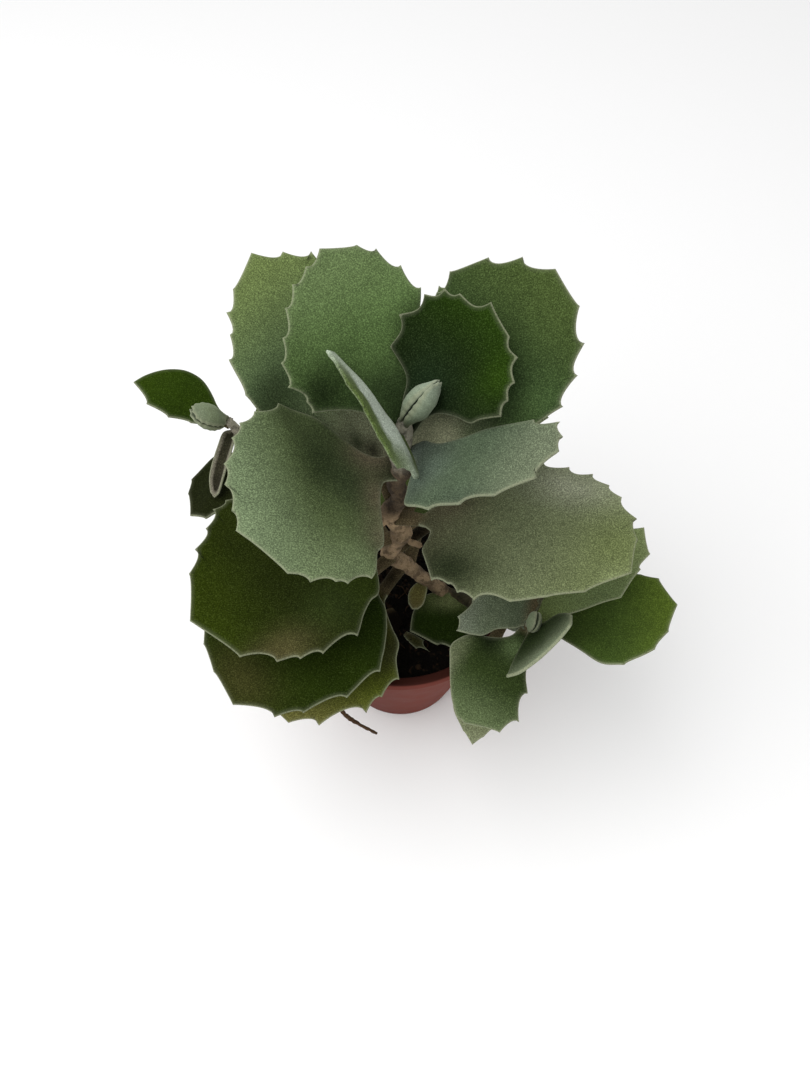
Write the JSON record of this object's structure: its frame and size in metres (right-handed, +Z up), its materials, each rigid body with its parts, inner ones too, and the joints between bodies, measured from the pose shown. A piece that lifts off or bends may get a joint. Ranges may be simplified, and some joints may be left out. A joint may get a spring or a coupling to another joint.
{
  "type": "potted kalanchoe",
  "caption": "Felt-leaved shrubby succulent with broad toothed leaves on a bare leaning stem, standing in a small round nursery pot of soil.",
  "frame": {"origin": "middle of the pot's flat underside", "axes": "+Z up along the pot's axis, -Y the front that faces the picture's camera, +X to the right in it"},
  "size_m": [0.19, 0.1251, 0.1973],
  "materials": {
    "pot": "thin moulded terracotta-coloured plastic, soft sheen, darker red at the rim",
    "soil": null,
    "stem": "semi-woody pinkish-brown stem under a fine felt, matt",
    "leaf": "thick succulent leaf under a fine grey felt, green, with a thin pale line of felt along the margin",
    "young_leaf": "young leaf under dense pale grey felt",
    "dry": "dry brown leaf and stalk, matt"
  },
  "bodies": {
    "root": {"pot": "pot", "soil": "soil", "stem": "stem", "leaf_crown_right": "leaf", "leaf_crown_spear": "leaf", "leaf_back_left": "leaf", "leaf_right_upper": "leaf", "leaf_left_broad": "leaf", "leaf_back_right": "leaf", "leaf_back_left_outer": "leaf", "leaf_right_broad": "leaf", "leaf_left_lower": "leaf", "leaf_back_right_lower": "leaf", "leaf_left_bottom": "leaf", "leaf_left_lowest": "leaf", "leaf_right_shoot_back": "leaf", "leaf_right_shoot_front": "leaf", "leaf_right_shoot_far": "leaf", "leaf_right_shoot_inner": "leaf", "leaf_right_shoot_under": "leaf", "leaf_right_shoot_boat": "leaf", "leaf_left_shoot_side": "leaf", "leaf_left_shoot_boat": "leaf", "leaf_left_shoot_under": "leaf", "leaf_left_shoot_back": "leaf", "leaf_rear_right": "leaf", "leaf_rear_middle": "leaf", "leaf_rear_left": "leaf", "leaf_soil_front": "leaf", "leaf_soil_round": "leaf", "bud_crown_front": "young_leaf", "bud_crown_back": "young_leaf", "bud_left_shoot_lower": "young_leaf", "bud_left_shoot_upper": "young_leaf", "bud_right_shoot_front": "young_leaf", "bud_right_shoot_back": "young_leaf", "fallen_leaf": "leaf", "withered_leaf": "dry", "dead_stalk": "dry"}
  },
  "joints": []
}
